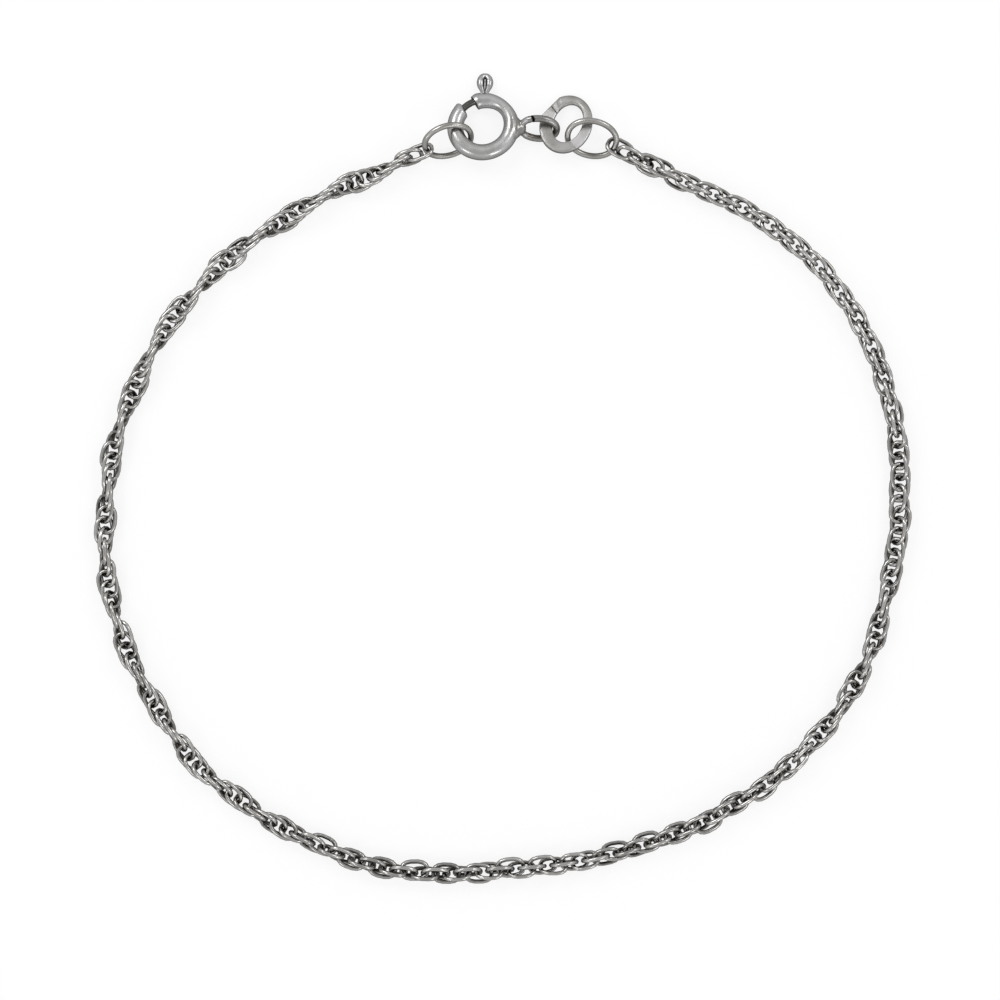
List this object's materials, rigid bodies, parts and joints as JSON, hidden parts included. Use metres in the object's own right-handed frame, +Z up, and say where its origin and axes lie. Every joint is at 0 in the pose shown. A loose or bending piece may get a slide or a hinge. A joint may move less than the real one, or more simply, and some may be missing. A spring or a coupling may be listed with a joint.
{
  "type": "singapore chain bracelet",
  "caption": "Fine twisted link chain bracelet, fastened into its loop by a small sprung ring clasp with oval jump rings and a flat slit ring.",
  "frame": {"origin": "on the surface that the bracelet lies on, below the middle of its loop", "axes": "+Z up out of the surface, +Y from the middle of the loop towards the clasp, +X towards the flat ring's end of the clasp"},
  "size_m": [0.0599, 0.0597, 0.0024],
  "materials": {
    "chain_silver": "polished silver wire",
    "clasp_silver": "polished silver, lightly worn",
    "satin_silver": "satin silver"
  },
  "bodies": {
    "bracelet": {"chain_left": "chain_silver", "chain_right": "chain_silver", "link_left_1": "chain_silver", "link_left_2": "chain_silver", "link_right_1": "chain_silver", "link_right_2": "chain_silver", "spring_ring": "clasp_silver", "tag_ring": "satin_silver", "jump_ring_left": "clasp_silver", "jump_ring_right": "clasp_silver"},
    "trigger": {"trigger": "clasp_silver"}
  },
  "joints": [
    {"name": "trigger_slide", "type": "hinge", "parent": "bracelet", "child": "trigger", "pos_m": [-0.0013, 0.02598, 0.00107], "axis": [0.0171, 0.2079, 0.978], "range_deg": [-35, 0], "stiffness_Nm_per_rad": 0.001, "springref_deg": 28.65}
  ]
}
